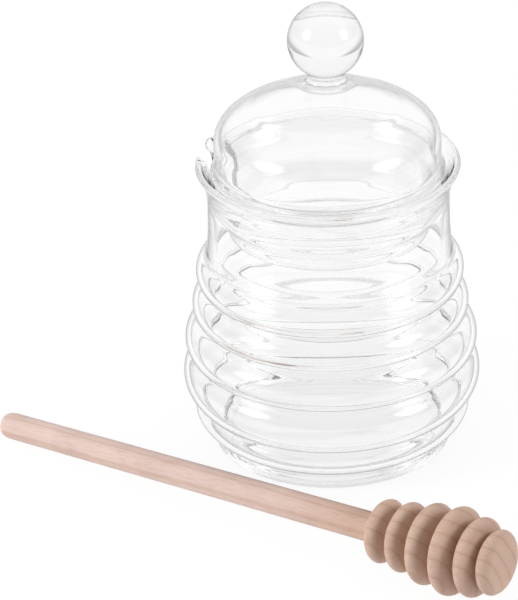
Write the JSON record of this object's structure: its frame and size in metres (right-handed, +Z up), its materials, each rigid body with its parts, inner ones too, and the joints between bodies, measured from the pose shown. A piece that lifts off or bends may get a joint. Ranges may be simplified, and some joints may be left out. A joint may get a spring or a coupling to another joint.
{
  "type": "honey pot with dipper",
  "caption": "Clear ribbed beehive glass pot with a flared notched lip and a domed, knobbed glass lid, with a turned wooden honey dipper lying in front of it.",
  "frame": {"origin": "centre of the pot's flat underside, on the surface that the pot and the dipper rest on", "axes": "+Z up along the pot's axis, -Y towards the dipper and the viewer, +X to the right as seen from the front"},
  "size_m": [0.1374, 0.1386, 0.1266],
  "materials": {
    "pot_glass": "clear blown glass, fire-polished",
    "lid_glass": "clear blown glass, fire-polished",
    "dipper_wood": "pale bare turned wood, fine sanded, unvarnished"
  },
  "bodies": {
    "root": {"pot": "pot_glass", "lid": "lid_glass", "dipper": "dipper_wood"}
  },
  "joints": []
}
